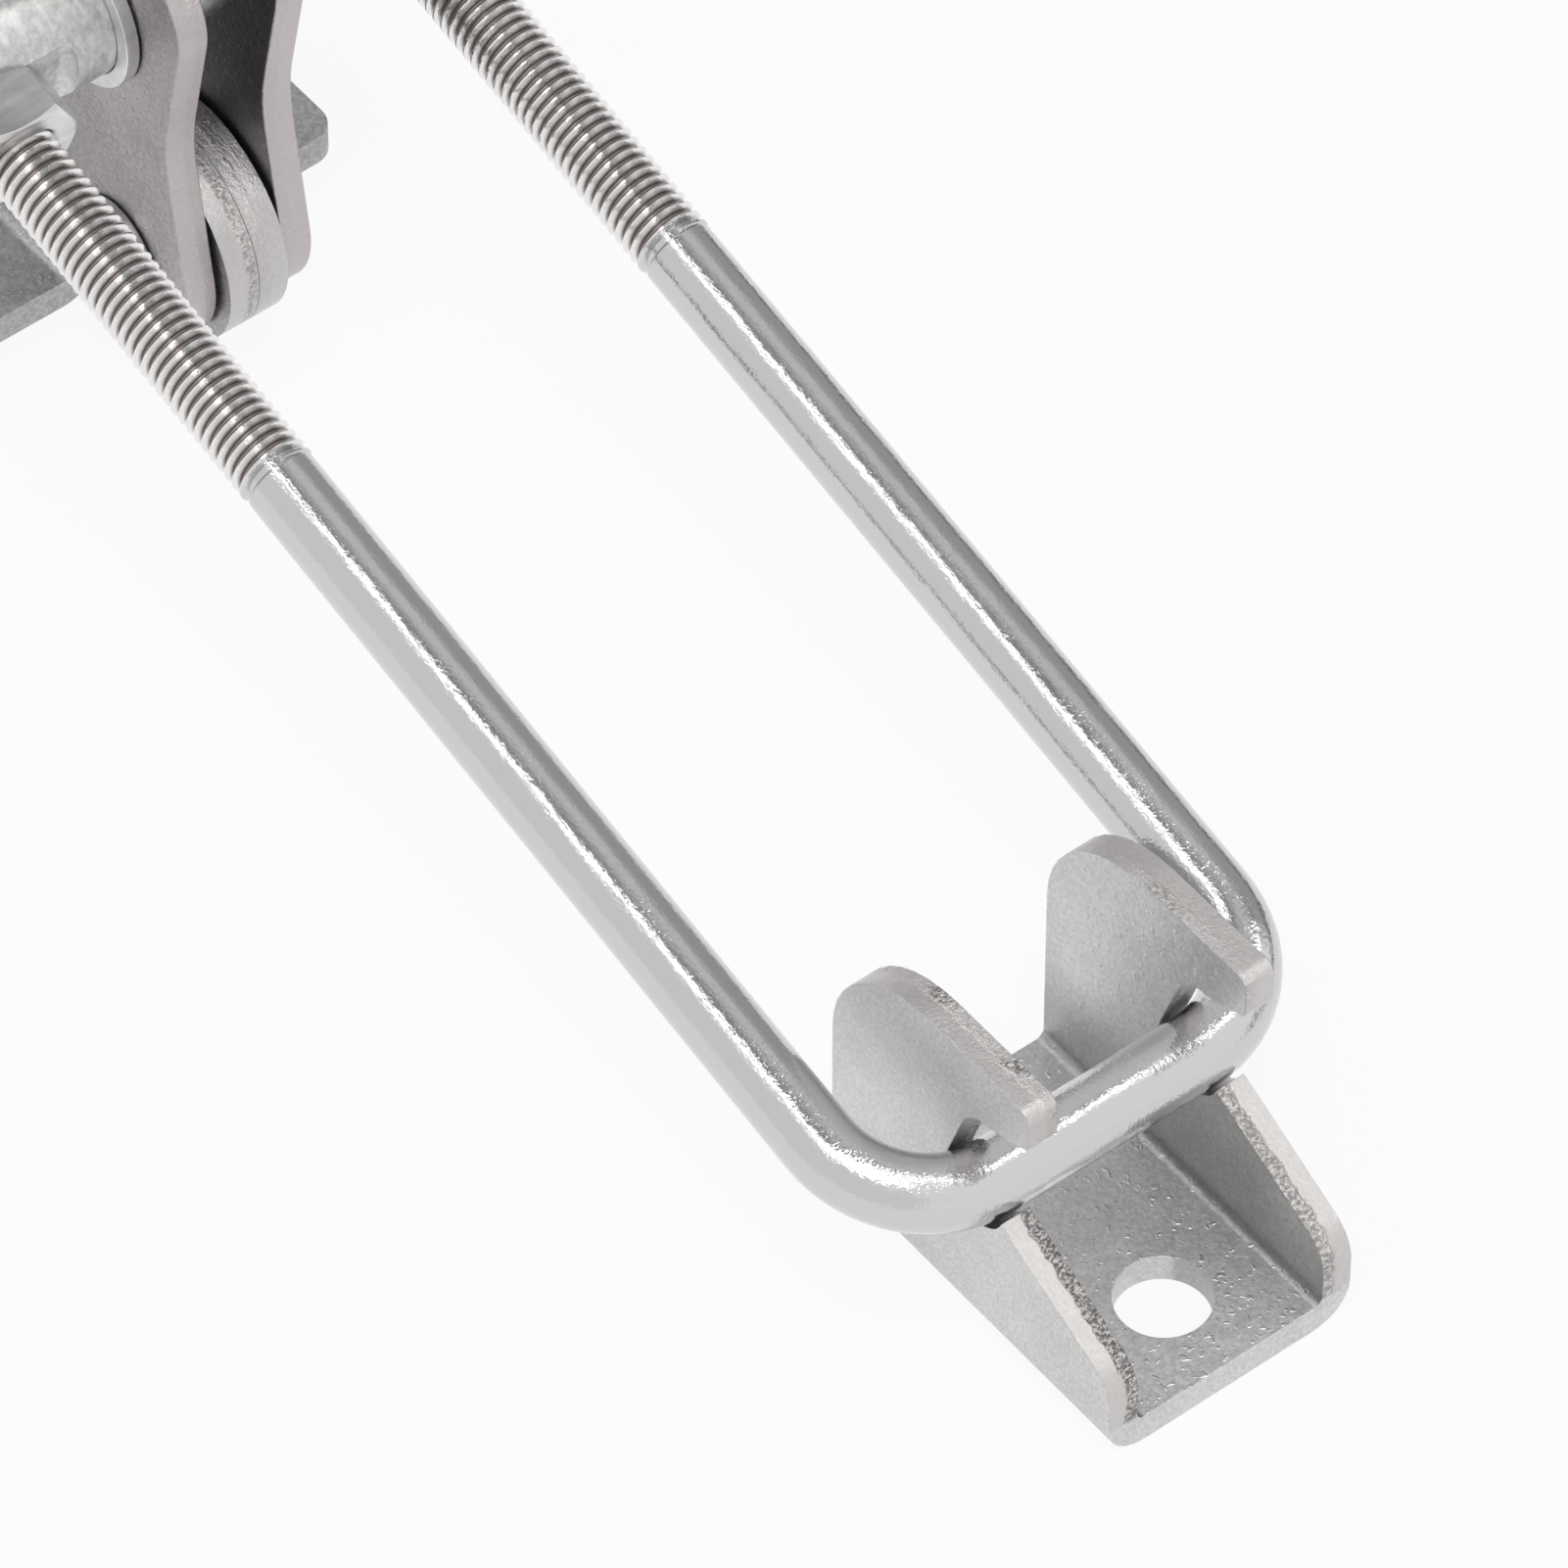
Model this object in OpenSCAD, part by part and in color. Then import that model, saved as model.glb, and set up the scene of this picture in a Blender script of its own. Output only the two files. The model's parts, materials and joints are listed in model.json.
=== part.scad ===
// Toggle clamp with an upright handle, a threaded U-bolt and a hooked catch plate, in millimetres.
// The origin is the middle of the base's four holes, on the mounting plane.
// +X points to the catch, +Z points up, and the left pieces are on the +Y side.

/* [Base] */
// Thickness of the base plates and the handle plates
sheet_t = 3.6; // [3:0.1:4.2]
// Length of the mounting flanges
flange_l = 70; // [66:1:90]
// Distance from the middle to the outer edge of each flange
flange_half_w = 30.3; // [28:0.1:36]
// Radius of the flange corners
flange_corner_r = 3; // [1:0.5:6]
// Inside radius of the bend between web and flange
bend_r = 1.5; // [1:0.1:2]
// Radius of the mounting holes
base_hole_r = 4.25; // [3:0.05:5]
// Spacing of the mounting holes along the clamp
base_hole_dx = 44; // [36:1:50]
// Spacing of the mounting holes across the clamp
base_hole_dy = 39; // [34:1:42]
// Height of the low web behind the pivot
web_strip_h = 12; // [11:0.5:12.5]
// Radius of the web's nose round the pivot
nose_r = 12.6; // [10:0.1:13]
// Distance from the pivot back to the foot of the gusset
gusset_back = 26.4; // [24:0.1:29]
// Radius of the web rivets' shanks
web_rivet_r = 1.8; // [1.4:0.1:2]
// Radius of the web rivets' flush heads
web_rivet_head_r = 2.8; // [2.4:0.1:3]
// Distance from the flange's ends to the web rivets
web_rivet_inset = 12; // [8:0.5:16]
// Radius in the corner at the foot of the gusset
gusset_r = 8; // [4:0.5:10]
// Length of web at the foot of the nose, in front of the flanges
toe_l = 1; // [0.5:0.1:2]

/* [Pivot] */
// Distance from the flange's front edge to the pivot axis
pivot_overhang = 15.4; // [14:0.1:18]
// Height of the pivot axis above the mounting plane
pivot_h = 24; // [24:0.1:28]
// Radius of the pivot pin's shank
pivot_r = 4.5; // [3.5:0.1:5]
// Radius of the pivot pin's heads
pivot_head_r = 5.9; // [5.6:0.1:7]
// Thickness of the pivot pin's heads
pivot_head_t = 1.3; // [1:0.1:2]

/* [Handle] */
// Radius of the handle's lower end, round the pivot
handle_end_r = 11; // [10:0.1:12.5]
// Distance of the trunnion axis behind the pivot axis
trunnion_back = 4.3; // [3:0.1:6]
// Height of the trunnion axis above the pivot axis
trunnion_rise = 32.85; // [32:0.05:36]
// Distance from the pivot axis forward to the waist of the handle
waist_front = 8.2; // [7.5:0.1:9.5]
// Distance from the pivot axis back to the waist of the handle
waist_rear = 12.4; // [11:0.1:13]
// Height of the waist above the pivot axis
waist_rise = 20; // [18:0.5:21]
// Half width of the handle plates beside the trunnion
lug_half_w = 16.5; // [15:0.1:17]
// Height of the widest place above the trunnion axis
lug_rise = 6; // [5:0.5:8]
// Radius of the waist's hollows
waist_r = 25; // [15:1:30]
// Radius of the widest place's corners
lug_r = 9; // [6:0.5:10]
// Radius of the hollows at the arm's shoulder
shoulder_r = 12; // [8:0.5:14]
// Radius of the arm's top corners
arm_corner_r = 4; // [2:0.5:6]
// Half width of the arm
arm_half_w = 9.5; // [8:0.1:11]
// Height of the arm's shoulder above the trunnion axis
shoulder_rise = 19.5; // [18:0.5:22]
// Height of the arm's top above the trunnion axis
arm_rise = 103; // [95:1:106]
// Radius of the handle rivets' shanks
handle_rivet_r = 3; // [2.5:0.1:3.5]
// Radius of the handle rivets' heads
handle_rivet_head_r = 4.8; // [4.4:0.1:5.5]
// Thickness of the handle rivets' heads
handle_rivet_head_t = 1.8; // [1.2:0.1:2.5]
// Height of the lower handle rivet above the trunnion axis
rivet_rise = 27; // [26:0.5:28]
// Spacing of the two handle rivets
rivet_spacing = 15; // [13:0.5:16]
// Distance that the spacer reaches past each handle rivet
spacer_margin = 6; // [5:0.5:6.5]
// Distance that the spacer stays inside the arm's edges
spacer_inset = 1.5; // [1:0.1:3]
// Radius of the spacer's corners
spacer_corner_r = 3; // [1:0.5:5]

/* [Grip] */
// Length of the grip
grip_l = 60; // [50:1:64]
// Wall of the grip round the arm
grip_wall = 2.4; // [1.8:0.1:3]
// Thickness of the grip's closed end
grip_end_t = 4; // [3:0.1:5]
// Radius of the grip's edges
grip_edge_r = 4; // [3:0.1:5]
// Radius of the grip's top corners
grip_crown_r = 7; // [4:0.5:9]
// Radius of the grip's lower rim, seen from the side
grip_rim_r = 1; // [0.5:0.1:2]

/* [Trunnion bar] */
// Radius of the trunnion bar
bar_r = 8; // [7.6:0.05:8.4]
// Distance from each leg's axis to the end of the bar
bar_end = 7.8; // [7.6:0.1:9]
// Distance from each leg's axis to the inner end of the flats
flat_inner = 10.2; // [9:0.1:11]
// Distance from the bar's axis to each flat
flat_half_t = 6.25; // [5.5:0.05:6.6]
// Radius in the corner at the inner end of each flat
flat_corner_r = 1.6; // [1:0.1:1.7]
// Chamfer on the ends of the bar
bar_chamfer = 0.8; // [0.4:0.1:1.2]
// Radius of the retaining rings
ring_r = 9.7; // [9.4:0.1:10.5]
// Thickness of the retaining rings
ring_t = 1.6; // [1:0.1:2]

/* [U-bolt] */
// Distance along the leg from the trunnion axis to the crossbar's axis
bolt_reach = 153.1; // [145:0.1:160]
// Radius of the U-bolt's plain rod
rod_r = 3.85; // [3.6:0.05:3.95]
// Radius over the crests of the U-bolt's thread
thread_r = 4; // [3.95:0.05:4.1]
// Length of thread in front of the trunnion axis
thread_front = 55.1; // [45:0.1:70]
// Length of leg behind the trunnion axis
thread_rear = 18; // [16:0.1:18.4]
// Bend radius of the U-bolt's corners, on the rod's axis
corner_r = 12; // [11:0.1:14]
// Distance that the corners start inside the hooks' outer faces
bend_inset = 2.6; // [1:0.1:2.7]
// Chamfer on the ends of the legs
leg_chamfer = 0.8; // [0.4:0.1:1.2]

/* [Nuts] */
// Distance across the flats of a nut
nut_af = 13; // [12:0.1:14]
// Height of a nut
nut_h = 6.5; // [5.5:0.1:7]
// Radius of the flat face inside a nut's chamfer
nut_face_r = 6.2; // [5.4:0.1:6.4]
// Slope of the chamfers on a nut's corners, in degrees
nut_chamfer_angle = 30; // [20:1:35]
// Width of the chamfer at each end of a nut's bore
nut_bore_chamfer = 0.5; // [0.3:0.05:0.8]

/* [Catch plate] */
// Thickness of the catch plate
catch_t = 3.5; // [3:0.1:3.8]
// Outside width of the catch plate
catch_w = 29.6; // [28:0.1:32]
// Inside radius of the catch plate's bends
catch_bend_r = 1; // [0.8:0.1:1.5]
// Distance from the crossbar's axis back to the plate's rear edge
catch_rear = 21.4; // [20:0.1:26]
// Distance from the crossbar's axis to the plate's front edge
catch_front = 20.7; // [20:0.1:25]
// Height of the crossbar's axis above the plate's foot
seat_h = 20.9; // [20:0.1:23]
// Height of the hooks above the crossbar's axis
hook_rise = 18.3; // [17.5:0.1:21]
// Radius of the round back of the hooks
hook_back_r = 14.5; // [10:0.5:16]
// Distance from the crossbar's axis to the tip of the hooks
hook_tip = 7.9; // [7.5:0.1:9]
// Height of the blunt end of the hooks' tips
hook_tip_h = 5.2; // [4.5:0.1:6]
// Radius of the upper corner of the hooks' tips
hook_tip_upper_r = 1.5; // [1:0.1:2]
// Radius of the lower corner of the hooks' tips
hook_tip_lower_r = 1; // [0.5:0.1:1.5]
// Radius of the round step above the crossbar's seat
throat_r = 4.4; // [4:0.1:4.6]
// Distance from the crossbar's axis to the middle of that step
throat_x = 2.3; // [1.8:0.1:2.6]
// Height of that step's middle above the crossbar's axis
throat_rise = 6.7; // [6:0.1:7]
// Distance from the crossbar's axis to the top of the lip in front of it
lip_x = 4.1; // [3.9:0.1:4.4]
// Depth of the lip's top below the crossbar's axis
lip_drop = 1.3; // [1:0.1:1.8]
// Slope of the lip's front, in degrees
lip_slope = 28; // [22:1:30]
// Radius of the plate's front corners
catch_corner_r = 5; // [3:0.1:6]
// Distance from the crossbar's axis to the front hole
catch_hole_front_x = 10.7; // [9:0.1:12]
// Radius of the front hole
catch_hole_front_r = 4.9; // [4:0.05:5.2]
// Distance from the crossbar's axis back to the rear hole
catch_hole_rear_x = 13.4; // [11:0.1:14.5]
// Radius of the rear hole
catch_hole_rear_r = 3.1; // [2.5:0.05:4]

/* [Fits] */
// Radial gap round pins, rivets, rings and threads
pin_gap = 0.05; // [0.03:0.01:0.1]
// Gap between the webs and the handle plates
side_gap = 0.5; // [0.3:0.05:0.8]
// Gap under the heads of pins and beside the rings
head_gap = 0.2; // [0.1:0.05:0.3]
// Radial gap between the legs and the holes in the bar
leg_gap = 0.25; // [0.15:0.05:0.3]
// Gap between the crossbar and its seat in the hooks
seat_gap = 0.5; // [0.45:0.05:0.6]
// Gap between the arm and the grip, and beside the spacer
grip_gap = 0.1; // [0.05:0.01:0.2]

/* [Hidden] */
$fn = 64;
arc_steps = 10;
past = 1;

pivot_x = flange_l / 2 + pivot_overhang;
bend_outer_r = bend_r + sheet_t;
web_rivet_x = flange_l / 2 - web_rivet_inset;
web_rivet_h = (bend_outer_r + web_strip_h) / 2;
plate_inner_y = sheet_t + side_gap;
plate_outer_y = plate_inner_y + sheet_t;
trunnion_x = pivot_x - trunnion_back;
trunnion_h = pivot_h + trunnion_rise;
arm_top = trunnion_h + arm_rise;
grip_top = arm_top + grip_gap + grip_end_t;
grip_low = grip_top - grip_l;
rivet_lower_h = trunnion_h + rivet_rise;
rivet_upper_h = rivet_lower_h + rivet_spacing;
leg_drop = asin((trunnion_h - seat_h) / bolt_reach);
leg_y = catch_w / 2 - bend_inset + corner_r;
bar_half_l = leg_y + bar_end;
crossbar_x = trunnion_x + bolt_reach * cos(leg_drop);
hook_h = seat_h + hook_rise;
catch_foot_x = crossbar_x - catch_rear;
catch_nose_x = crossbar_x + catch_front;
satin_steel = [0.71, 0.68, 0.65];
bright_steel = [0.80, 0.79, 0.77];
black_vinyl = [0.07, 0.07, 0.08];

// Direction of a vector, with length 1
function unit(v) = v / norm(v);

// Points of the arc that rounds corner b, between its neighbours a and c, each [x, y, radius]
function corner_arc(a, b, c) =
    let(
        corner = [b.x, b.y],
        back = unit([a.x, a.y] - corner),
        ahead = unit([c.x, c.y] - corner),
        half = acos(back * ahead) / 2,
        middle = corner + unit(back + ahead) * b.z / sin(half),
        first = corner + back * b.z / tan(half) - middle,
        last = corner + ahead * b.z / tan(half) - middle,
        start = atan2(first.y, first.x),
        turn = (atan2(last.y, last.x) - start + 540) % 360 - 180
    )
    [for (i = [0:arc_steps])
        let(angle = start + turn * i / arc_steps)
        middle + b.z * [cos(angle), sin(angle)]];

// Closed outline through corners [x, y, radius], where a radius of 0 leaves a corner sharp
function outline(corners) =
    let(n = len(corners))
    [for (i = [0:n - 1])
        each corners[i].z > 0
            ? corner_arc(corners[(i + n - 1) % n], corners[i], corners[(i + 1) % n])
            : [[corners[i].x, corners[i].y]]];

// Where a line from point p touches a circle, on the side given by 1 or -1
function touch(p, centre, r, side) =
    let(
        v = p - centre,
        angle = atan2(v.y, v.x) + side * acos(r / norm(v))
    )
    centre + r * [cos(angle), sin(angle)];

// The shape on the left, or its mirror image on the right
module on_side(side) {
    if (side > 0) children();
    else mirror([0, 1, 0]) children();
}

// A profile in X and Z, extruded along +Y from y_low
module upright(y_low, thickness) {
    translate([0, y_low + thickness, 0])
        rotate([90, 0, 0]) linear_extrude(thickness) children();
}

// A section in Y and Z, extruded along +X from x_low
module lengthwise(x_low, length) {
    translate([x_low, 0, 0])
        rotate([90, 0, 90]) linear_extrude(length) children();
}

// The shape moved to the trunnion axis, with its X along the U-bolt's legs
module along_legs() {
    translate([trunnion_x, 0, trunnion_h]) rotate([0, leg_drop, 0]) children();
}

// A round hole across the whole clamp
module cross_bore(x, z, r) {
    translate([x, 0, z]) rotate([90, 0, 0]) cylinder(r = r, h = 2 * (plate_outer_y + past), center = true);
}

// A turned piece across the clamp, from a profile of radius and distance from the middle
module turned(x, z, profile) {
    translate([x, 0, z]) rotate([90, 0, 0]) rotate_extrude() polygon(profile);
}

// A pin with a low head outside the handle plates on each side
module headed_pin(x, z, shank_r, head_r, head_t) {
    under = plate_outer_y + head_gap;
    top = under + head_t;
    edge = head_t / 3;
    turned(x, z, [
        [0, -top], [head_r - edge, -top], [head_r, edge - top], [head_r, -under], [shank_r, -under],
        [shank_r, under], [head_r, under], [head_r, top - edge], [head_r - edge, top], [0, top]
    ]);
}

// A rivet through both webs with its cone heads flush, grown by a gap for its hole
module flush_rivet(x, gap, reach) {
    shank = web_rivet_r + gap;
    head = web_rivet_head_r + gap;
    cone = sheet_t - (web_rivet_head_r - web_rivet_r);
    end = sheet_t + reach;
    turned(x, web_rivet_h, [
        [0, -end], [head, -end], [head, -sheet_t], [shank, -cone],
        [shank, cone], [head, sheet_t], [head, end], [0, end]
    ]);
}

module web_profile() {
    pivot = [pivot_x, pivot_h];
    foot = [pivot_x - gusset_back, web_strip_h];
    toe = [flange_l / 2 + toe_l, bend_outer_r];
    upper = touch(foot, pivot, nose_r, -1);
    lower = touch(toe, pivot, nose_r, 1);
    translate(pivot) circle(nose_r);
    polygon(outline([
        [-flange_l / 2, bend_outer_r, 0], [-flange_l / 2, web_strip_h, flange_corner_r],
        [foot.x, foot.y, gusset_r], [upper.x, upper.y, 0], [pivot.x, pivot.y, 0],
        [lower.x, lower.y, 0], [toe.x, toe.y, 0]
    ]));
}

module bend_section() {
    intersection() {
        square(bend_outer_r);
        translate([bend_outer_r, bend_outer_r])
            difference() {
                circle(bend_outer_r);
                circle(bend_r);
            }
    }
}

module flange_plan() {
    polygon(outline([
        [-flange_l / 2, bend_outer_r, 0], [flange_l / 2, bend_outer_r, 0],
        [flange_l / 2, flange_half_w, flange_corner_r], [-flange_l / 2, flange_half_w, flange_corner_r]
    ]));
}

module base_plate(side) {
    color(satin_steel) on_side(side) difference() {
        union() {
            upright(0, sheet_t) web_profile();
            lengthwise(-flange_l / 2, flange_l) bend_section();
            linear_extrude(sheet_t) flange_plan();
        }
        cross_bore(pivot_x, pivot_h, pivot_r + pin_gap);
        for (x = [-web_rivet_x, web_rivet_x])
            flush_rivet(x, pin_gap, past);
        for (x = [-base_hole_dx / 2, base_hole_dx / 2])
            translate([x, base_hole_dy / 2, -past])
                cylinder(r = base_hole_r, h = sheet_t + 2 * past);
    }
}

module web_rivet(x) {
    color(bright_steel) flush_rivet(x, 0, 0);
}

module pivot_pin() {
    color(bright_steel) headed_pin(pivot_x, pivot_h, pivot_r, pivot_head_r, pivot_head_t);
}

module handle_profile() {
    pivot = [pivot_x, pivot_h];
    waist = [pivot_x + waist_front, pivot_h + waist_rise];
    back = [pivot_x - waist_rear, pivot_h + waist_rise];
    front = touch(waist, pivot, handle_end_r, -1);
    rear = touch(back, pivot, handle_end_r, 1);
    lug_z = trunnion_h + lug_rise;
    shoulder_z = trunnion_h + shoulder_rise;
    translate(pivot) circle(handle_end_r);
    polygon(outline([
        [pivot.x, pivot.y, 0], [front.x, front.y, 0], [waist.x, waist.y, waist_r],
        [trunnion_x + lug_half_w, lug_z, lug_r], [trunnion_x + arm_half_w, shoulder_z, shoulder_r],
        [trunnion_x + arm_half_w, arm_top, arm_corner_r],
        [trunnion_x - arm_half_w, arm_top, arm_corner_r],
        [trunnion_x - arm_half_w, shoulder_z, shoulder_r], [trunnion_x - lug_half_w, lug_z, lug_r],
        [back.x, back.y, waist_r], [rear.x, rear.y, 0]
    ]));
}

module handle_plate(side) {
    color(satin_steel) on_side(side) difference() {
        upright(plate_inner_y, sheet_t) handle_profile();
        cross_bore(pivot_x, pivot_h, pivot_r + pin_gap);
        cross_bore(trunnion_x, trunnion_h, bar_r + pin_gap);
        for (z = [rivet_lower_h, rivet_upper_h])
            cross_bore(trunnion_x, z, handle_rivet_r + pin_gap);
    }
}

module handle_spacer() {
    half_t = plate_inner_y - grip_gap;
    half_w = arm_half_w - spacer_inset;
    low = rivet_lower_h - spacer_margin;
    high = rivet_upper_h + spacer_margin;
    color(satin_steel) difference() {
        upright(-half_t, 2 * half_t) polygon(outline([
            [trunnion_x - half_w, low, spacer_corner_r], [trunnion_x + half_w, low, spacer_corner_r],
            [trunnion_x + half_w, high, spacer_corner_r], [trunnion_x - half_w, high, spacer_corner_r]
        ]));
        for (z = [rivet_lower_h, rivet_upper_h])
            cross_bore(trunnion_x, z, handle_rivet_r + pin_gap);
    }
}

module handle_rivet(z) {
    color(bright_steel)
        headed_pin(trunnion_x, z, handle_rivet_r, handle_rivet_head_r, handle_rivet_head_t);
}

// Sleeve over both handle plates, closed and rounded at the top
module grip() {
    pocket_x = arm_half_w + grip_gap;
    pocket_y = plate_outer_y + grip_gap;
    half_x = pocket_x + grip_wall;
    half_y = pocket_y + grip_wall;
    left = trunnion_x - half_x;
    right = trunnion_x + half_x;
    color(black_vinyl) difference() {
        intersection() {
            translate([trunnion_x, 0, grip_low]) linear_extrude(grip_l) polygon(outline([
                [-half_x, -half_y, grip_edge_r], [half_x, -half_y, grip_edge_r],
                [half_x, half_y, grip_edge_r], [-half_x, half_y, grip_edge_r]
            ]));
            upright(-half_y, 2 * half_y) polygon(outline([
                [left, grip_low, grip_rim_r], [right, grip_low, grip_rim_r],
                [right, grip_top, grip_crown_r], [left, grip_top, grip_crown_r]
            ]));
        }
        translate([trunnion_x - pocket_x, -pocket_y, grip_low - past])
            cube([2 * pocket_x, 2 * pocket_y, arm_top + grip_gap - grip_low + past]);
    }
}

// The space in front of or behind one flat, rounded at its inner end
module flat_cutter(end) {
    deep = bar_r + past;
    linear_extrude(2 * deep, center = true) polygon(outline([
        [end * flat_half_t, leg_y - flat_inner, flat_corner_r], [end * deep, leg_y - flat_inner, 0],
        [end * deep, bar_half_l + past, 0], [end * flat_half_t, bar_half_l + past, 0]
    ]));
}

module trunnion_bar() {
    color(satin_steel) along_legs() difference() {
        rotate([90, 0, 0]) rotate_extrude() polygon([
            [0, -bar_half_l], [bar_r - bar_chamfer, -bar_half_l], [bar_r, bar_chamfer - bar_half_l],
            [bar_r, bar_half_l - bar_chamfer], [bar_r - bar_chamfer, bar_half_l], [0, bar_half_l]
        ]);
        for (side = [-1, 1]) on_side(side) {
            for (end = [-1, 1]) flat_cutter(end);
            translate([0, leg_y, 0]) rotate([0, 90, 0])
                cylinder(r = thread_r + leg_gap, h = 2 * (bar_r + past), center = true);
        }
    }
}

module trunnion_ring(side) {
    color(bright_steel) on_side(side) upright(plate_outer_y + head_gap, ring_t)
        translate([trunnion_x, trunnion_h]) difference() {
            circle(ring_r);
            circle(bar_r + pin_gap);
        }
}

// A round bar along +X from x_low to x_high, with a chamfered end at x_low
module round_leg(x_low, x_high, r, chamfer) {
    translate([x_low, 0, 0]) rotate([0, 90, 0]) rotate_extrude() polygon([
        [0, 0], [r - chamfer, 0], [r, chamfer], [r, x_high - x_low], [0, x_high - x_low]
    ]);
}

module u_bolt() {
    color(bright_steel) along_legs() {
        for (side = [-1, 1]) on_side(side) {
            translate([0, leg_y, 0]) round_leg(-thread_rear, thread_front, thread_r, leg_chamfer);
            translate([thread_front, leg_y, 0]) rotate([0, 90, 0])
                cylinder(r = rod_r, h = bolt_reach - corner_r - thread_front);
            translate([bolt_reach - corner_r, leg_y - corner_r, 0])
                rotate_extrude(angle = 90) translate([corner_r, 0]) circle(rod_r);
        }
        translate([bolt_reach, 0, 0]) rotate([90, 0, 0])
            cylinder(r = rod_r, h = 2 * (leg_y - corner_r), center = true);
    }
}

// A nut on one leg, from x_low along the leg
module nut(side, x_low) {
    corner = nut_af / sqrt(3) + past;
    rise = (corner - nut_face_r) * tan(nut_chamfer_angle);
    bore = thread_r + pin_gap;
    wide = bore + nut_bore_chamfer;
    color(bright_steel) along_legs() on_side(side)
        translate([x_low, leg_y, 0]) rotate([0, 90, 0]) difference() {
            intersection() {
                cylinder(r = nut_af / sqrt(3), h = nut_h, $fn = 6);
                rotate_extrude() polygon([
                    [0, 0], [nut_face_r, 0], [corner, rise], [corner, nut_h - rise],
                    [nut_face_r, nut_h], [0, nut_h]
                ]);
            }
            rotate_extrude() polygon([
                [0, -past], [wide, -past], [wide, 0], [bore, nut_bore_chamfer],
                [bore, nut_h - nut_bore_chamfer], [wide, nut_h], [wide, nut_h + past], [0, nut_h + past]
            ]);
        }
}

// Side view of the catch plate with the crossbar's notch cut in
module catch_profile() {
    seat = [crossbar_x, seat_h];
    throat = seat + [throat_x, throat_rise];
    seat_r = rod_r + seat_gap;
    across = unit([-throat_rise, throat_x]);
    tilt = tan(lip_slope);
    lip_z = seat_h - lip_drop;
    difference() {
        polygon(outline([
            [catch_foot_x, 0, 0], [catch_nose_x, 0, 0],
            [catch_nose_x, lip_z - (catch_front - lip_x) * tilt, catch_corner_r],
            [seat.x, lip_z + lip_x * tilt, 0], [throat.x, throat.y + throat_r, 0],
            [seat.x + hook_tip, hook_h - hook_tip_h, hook_tip_lower_r],
            [seat.x + hook_tip, hook_h, hook_tip_upper_r],
            [catch_foot_x, hook_h, hook_back_r]
        ]));
        translate(seat) circle(seat_r);
        translate(throat) circle(throat_r);
        polygon([
            seat + across * seat_r, throat + across * throat_r,
            throat - across * throat_r, seat - across * seat_r
        ]);
    }
}

// Cross-section of the catch plate's channel
module channel_section() {
    outer = catch_w / 2;
    inner = outer - catch_t;
    top = hook_h + past;
    difference() {
        polygon(outline([
            [-outer, 0, catch_bend_r + catch_t], [outer, 0, catch_bend_r + catch_t],
            [outer, top, 0], [-outer, top, 0]
        ]));
        polygon(outline([
            [-inner, catch_t, catch_bend_r], [inner, catch_t, catch_bend_r],
            [inner, top + past, 0], [-inner, top + past, 0]
        ]));
    }
}

module catch_plate() {
    color(satin_steel) difference() {
        intersection() {
            upright(-catch_w / 2, catch_w) catch_profile();
            lengthwise(catch_foot_x, catch_rear + catch_front) channel_section();
        }
        translate([crossbar_x + catch_hole_front_x, 0, -past])
            cylinder(r = catch_hole_front_r, h = catch_t + 2 * past);
        translate([crossbar_x - catch_hole_rear_x, 0, -past])
            cylinder(r = catch_hole_rear_r, h = catch_t + 2 * past);
    }
}

base_plate(1);  // base_left
base_plate(-1);  // base_right
web_rivet(web_rivet_x);  // web_rivet_front
web_rivet(-web_rivet_x);  // web_rivet_rear
pivot_pin();
handle_plate(1);  // handle_plate_left
handle_plate(-1);  // handle_plate_right
handle_spacer();
handle_rivet(rivet_lower_h);  // handle_rivet_lower
handle_rivet(rivet_upper_h);  // handle_rivet_upper
grip();
trunnion_bar();
trunnion_ring(1);  // trunnion_ring_left
trunnion_ring(-1);  // trunnion_ring_right
u_bolt();
nut(1, flat_half_t);  // nut_front_left
nut(-1, flat_half_t);  // nut_front_right
nut(1, -flat_half_t - nut_h);  // nut_rear_left
nut(-1, -flat_half_t - nut_h);  // nut_rear_right
catch_plate();
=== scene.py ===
"""Looks of an upright toggle clamp with a threaded U-bolt and a hooked catch plate."""

from __future__ import annotations

import json
import logging
import math
from dataclasses import dataclass
from enum import Enum
from typing import Any

import bmesh
import bpy
from mathutils import Matrix, Vector

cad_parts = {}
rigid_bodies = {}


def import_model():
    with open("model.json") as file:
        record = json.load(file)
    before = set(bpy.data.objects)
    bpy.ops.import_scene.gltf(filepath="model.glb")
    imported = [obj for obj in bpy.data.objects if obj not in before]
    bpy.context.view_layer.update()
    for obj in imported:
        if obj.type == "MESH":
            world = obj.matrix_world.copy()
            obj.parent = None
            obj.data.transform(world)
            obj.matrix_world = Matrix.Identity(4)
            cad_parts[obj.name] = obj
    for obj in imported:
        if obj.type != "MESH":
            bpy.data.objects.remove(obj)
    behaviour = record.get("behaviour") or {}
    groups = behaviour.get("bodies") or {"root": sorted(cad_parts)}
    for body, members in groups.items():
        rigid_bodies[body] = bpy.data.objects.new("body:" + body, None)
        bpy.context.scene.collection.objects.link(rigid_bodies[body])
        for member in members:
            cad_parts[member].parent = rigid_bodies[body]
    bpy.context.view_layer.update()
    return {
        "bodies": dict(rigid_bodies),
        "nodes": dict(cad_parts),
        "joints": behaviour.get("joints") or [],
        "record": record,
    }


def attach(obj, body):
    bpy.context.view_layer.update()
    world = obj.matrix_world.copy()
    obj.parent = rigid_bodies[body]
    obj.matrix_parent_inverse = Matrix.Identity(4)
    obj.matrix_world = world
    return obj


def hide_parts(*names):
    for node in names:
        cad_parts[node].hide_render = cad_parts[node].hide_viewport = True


MM = 0.001
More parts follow.
